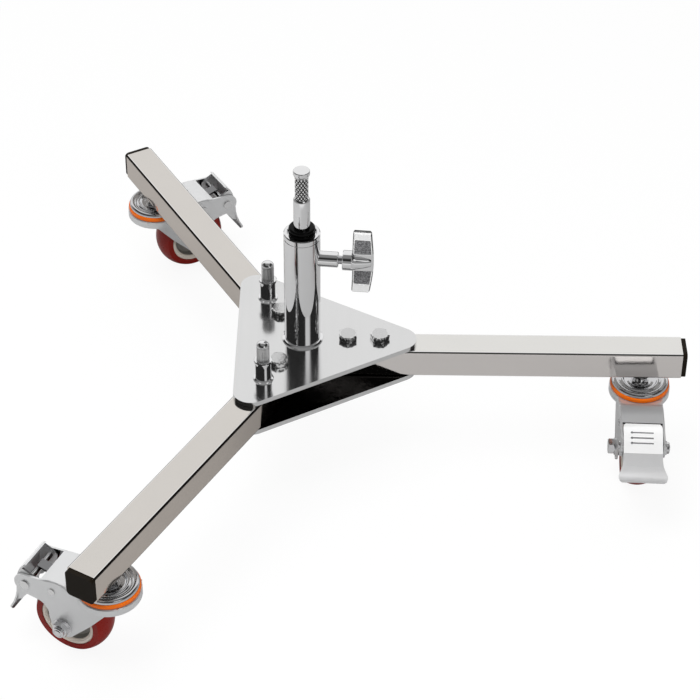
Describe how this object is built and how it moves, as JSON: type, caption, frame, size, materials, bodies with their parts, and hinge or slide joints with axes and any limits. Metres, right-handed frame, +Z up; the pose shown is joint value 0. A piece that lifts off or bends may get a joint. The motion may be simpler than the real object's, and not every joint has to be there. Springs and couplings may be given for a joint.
{
  "type": "folding caster base for a light stand",
  "caption": "Folding tripod base on braked swivel casters, with a triangular hub, a clamped receiver tube and a lift-out lighting stud.",
  "frame": {"origin": "on the column axis, where the stud's plain shank leaves its rubber rings", "axes": "+Z up along the stud, +X along the fixed leg, +Y towards the rear folding leg"},
  "size_m": [0.638, 0.6919, 0.3415],
  "materials": {
    "chrome_plate": "mirror",
    "brushed_plate": "satin",
    "polished_tube": "polished",
    "plain_steel": "satin",
    "zinc_steel": "bright zinc",
    "black_rubber": "matte",
    "orange_plastic": "gloss",
    "cream_plastic": "satin",
    "dark_red_rubber": "satin"
  },
  "bodies": {
    "base": {"top_plate": "brushed_plate", "bottom_plate": "brushed_plate", "receiver_tube": "chrome_plate", "receiver_foot_ring": "chrome_plate", "clamp_boss": "chrome_plate", "fixed_leg": "polished_tube", "fixed_leg_cap": "black_rubber", "leg_bolts": "chrome_plate", "leg_nuts": "chrome_plate", "leg_sleeves": "polished_tube", "plunger_collars": "chrome_plate", "front_plunger_spring": "plain_steel", "rear_plunger_spring": "plain_steel", "fixed_stem": "zinc_steel", "fixed_swivel_head": "zinc_steel", "fixed_dust_ring": "orange_plastic", "fixed_balls": "zinc_steel"},
    "front_plunger": {"front_plunger": "plain_steel"},
    "rear_plunger": {"rear_plunger": "plain_steel"},
    "stud": {"spigot": "chrome_plate", "spigot_rings": "black_rubber"},
    "clamp_tip": {"clamp_tip": "plain_steel"},
    "clamp_handle": {"clamp_screw": "plain_steel", "t_handle": "chrome_plate"},
    "front_leg": {"front_leg": "polished_tube", "front_leg_cap": "black_rubber", "front_stem": "zinc_steel", "front_swivel_head": "zinc_steel", "front_dust_ring": "orange_plastic", "front_balls": "zinc_steel"},
    "rear_leg": {"rear_leg": "polished_tube", "rear_leg_cap": "black_rubber", "rear_stem": "zinc_steel", "rear_swivel_head": "zinc_steel", "rear_dust_ring": "orange_plastic", "rear_balls": "zinc_steel"},
    "fixed_swivel": {"fixed_fork": "zinc_steel", "fixed_axle_bolt": "zinc_steel", "fixed_axle_nut": "zinc_steel", "fixed_pins": "zinc_steel"},
    "fixed_wheel": {"fixed_wheel_rim": "cream_plastic", "fixed_tread": "dark_red_rubber"},
    "fixed_pedal": {"fixed_pedal": "zinc_steel"},
    "fixed_shoe": {"fixed_brake_shoe": "zinc_steel"},
    "front_swivel": {"front_fork": "zinc_steel", "front_axle_bolt": "zinc_steel", "front_axle_nut": "zinc_steel", "front_pins": "zinc_steel"},
    "front_wheel": {"front_wheel_rim": "cream_plastic", "front_tread": "dark_red_rubber"},
    "front_pedal": {"front_pedal": "zinc_steel"},
    "front_shoe": {"front_brake_shoe": "zinc_steel"},
    "rear_swivel": {"rear_fork": "zinc_steel", "rear_axle_bolt": "zinc_steel", "rear_axle_nut": "zinc_steel", "rear_pins": "zinc_steel"},
    "rear_wheel": {"rear_wheel_rim": "cream_plastic", "rear_tread": "dark_red_rubber"},
    "rear_pedal": {"rear_pedal": "zinc_steel"},
    "rear_shoe": {"rear_brake_shoe": "zinc_steel"}
  },
  "joints": [
    {"name": "front_leg_fold", "type": "hinge", "parent": "base", "child": "front_leg", "pos_m": [-0.02225, -0.03854, -0.156], "axis": [0, 0, 1], "range_deg": [0, 120]},
    {"name": "front_plunger_lift", "type": "slide", "parent": "base", "child": "front_plunger", "axis": [0, 0, 1], "range_m": [0, 0.008], "stiffness_N_per_m": 1200, "springref_m": -0.006, "deforming": ["front_plunger_spring"]},
    {"name": "rear_leg_fold", "type": "hinge", "parent": "base", "child": "rear_leg", "pos_m": [-0.02225, 0.03854, -0.156], "axis": [0, 0, 1], "range_deg": [-120, 0]},
    {"name": "rear_plunger_lift", "type": "slide", "parent": "base", "child": "rear_plunger", "axis": [0, 0, 1], "range_m": [0, 0.008], "stiffness_N_per_m": 1200, "springref_m": -0.006, "deforming": ["rear_plunger_spring"]},
    {"name": "stud_lift", "type": "slide", "parent": "base", "child": "stud", "axis": [0, 0, 1], "range_m": [0, 0.075]},
    {"name": "clamp_advance", "type": "slide", "parent": "base", "child": "clamp_tip", "axis": [0.9962, -0.0872, 0], "range_m": [0, 0.00344]},
    {"name": "clamp_turn", "type": "hinge", "parent": "clamp_tip", "child": "clamp_handle", "pos_m": [0, 0, -0.0375], "axis": [0.9962, -0.0872, 0], "range_deg": [0, 990]},
    {"name": "fixed_caster_swivel", "type": "hinge", "parent": "base", "child": "fixed_swivel", "pos_m": [0.334, 0, -0.1891], "axis": [0, 0, 1], "continuous": true},
    {"name": "fixed_wheel_spin", "type": "hinge", "parent": "fixed_swivel", "child": "fixed_wheel", "pos_m": [0.33266, -0.03848, -0.24], "axis": [0.9994, -0.0349, 0], "continuous": true},
    {"name": "fixed_brake_pedal", "type": "hinge", "parent": "fixed_swivel", "child": "fixed_pedal", "pos_m": [0.33133, -0.07645, -0.2035], "axis": [0.9994, -0.0349, 0], "range_deg": [0, 48]},
    {"name": "fixed_shoe_swing", "type": "hinge", "parent": "fixed_swivel", "child": "fixed_shoe", "pos_m": [0.33232, -0.04797, -0.2003], "axis": [0.9994, -0.0349, 0], "range_deg": [-10.6, 0.1]},
    {"name": "front_caster_swivel", "type": "hinge", "parent": "front_leg", "child": "front_swivel", "pos_m": [-0.167, -0.28925, -0.1891], "axis": [0, 0, 1], "continuous": true},
    {"name": "front_wheel_spin", "type": "hinge", "parent": "front_swivel", "child": "front_wheel", "pos_m": [-0.2016, -0.27237, -0.24], "axis": [-0.4384, -0.8988, 0], "continuous": true},
    {"name": "front_brake_pedal", "type": "hinge", "parent": "front_swivel", "child": "front_pedal", "pos_m": [-0.23576, -0.25572, -0.2035], "axis": [-0.4384, -0.8988, 0], "range_deg": [-48, 0]},
    {"name": "front_shoe_swing", "type": "hinge", "parent": "front_swivel", "child": "front_shoe", "pos_m": [-0.21014, -0.26821, -0.2003], "axis": [-0.4384, -0.8988, 0], "range_deg": [-0.1, 10.6]},
    {"name": "rear_caster_swivel", "type": "hinge", "parent": "rear_leg", "child": "rear_swivel", "pos_m": [-0.167, 0.28925, -0.1891], "axis": [0, 0, -1], "continuous": true},
    {"name": "rear_wheel_spin", "type": "hinge", "parent": "rear_swivel", "child": "rear_wheel", "pos_m": [-0.13435, 0.30965, -0.24], "axis": [-0.5299, 0.848, 0], "continuous": true},
    {"name": "rear_brake_pedal", "type": "hinge", "parent": "rear_swivel", "child": "rear_pedal", "pos_m": [-0.10212, 0.32979, -0.2035], "axis": [-0.5299, 0.848, 0], "range_deg": [-48, 0]},
    {"name": "rear_shoe_swing", "type": "hinge", "parent": "rear_swivel", "child": "rear_shoe", "pos_m": [-0.12629, 0.31469, -0.2003], "axis": [-0.5299, 0.848, 0], "range_deg": [-0.1, 10.6]}
  ],
  "couplings": [
    {"joint": "clamp_turn", "follows": "clamp_advance", "rad_per_m": 5026.5},
    {"joint": "fixed_shoe_swing", "follows": "fixed_brake_pedal", "ratio": -0.21875},
    {"joint": "front_shoe_swing", "follows": "front_brake_pedal", "ratio": -0.21875},
    {"joint": "rear_shoe_swing", "follows": "rear_brake_pedal", "ratio": -0.21875}
  ]
}
